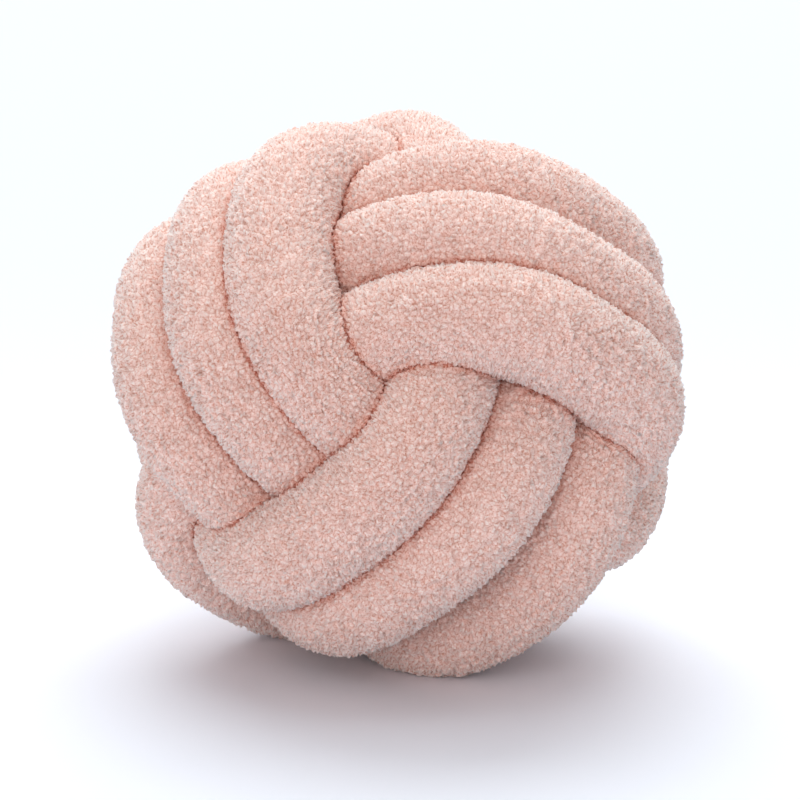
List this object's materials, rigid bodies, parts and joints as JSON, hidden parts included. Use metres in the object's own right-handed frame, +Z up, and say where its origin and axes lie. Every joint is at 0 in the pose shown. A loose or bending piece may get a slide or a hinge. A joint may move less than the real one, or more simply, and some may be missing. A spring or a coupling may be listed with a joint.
{
  "type": "knot cushion",
  "caption": "Round floor or sofa cushion: a stuffed tube of teddy cloth knotted into a ball, each band passing over one neighbour and under the other.",
  "frame": {"origin": "on the floor, under the middle of the ball", "axes": "+Z up, the side that the picture shows faces -Y"},
  "size_m": [0.2875, 0.302, 0.2778],
  "materials": {
    "pink_teddy_cloth": "matt curly pile, pale pink with darker gaps"
  },
  "bodies": {
    "root": {"stuffed_tube": "pink_teddy_cloth"}
  },
  "joints": []
}
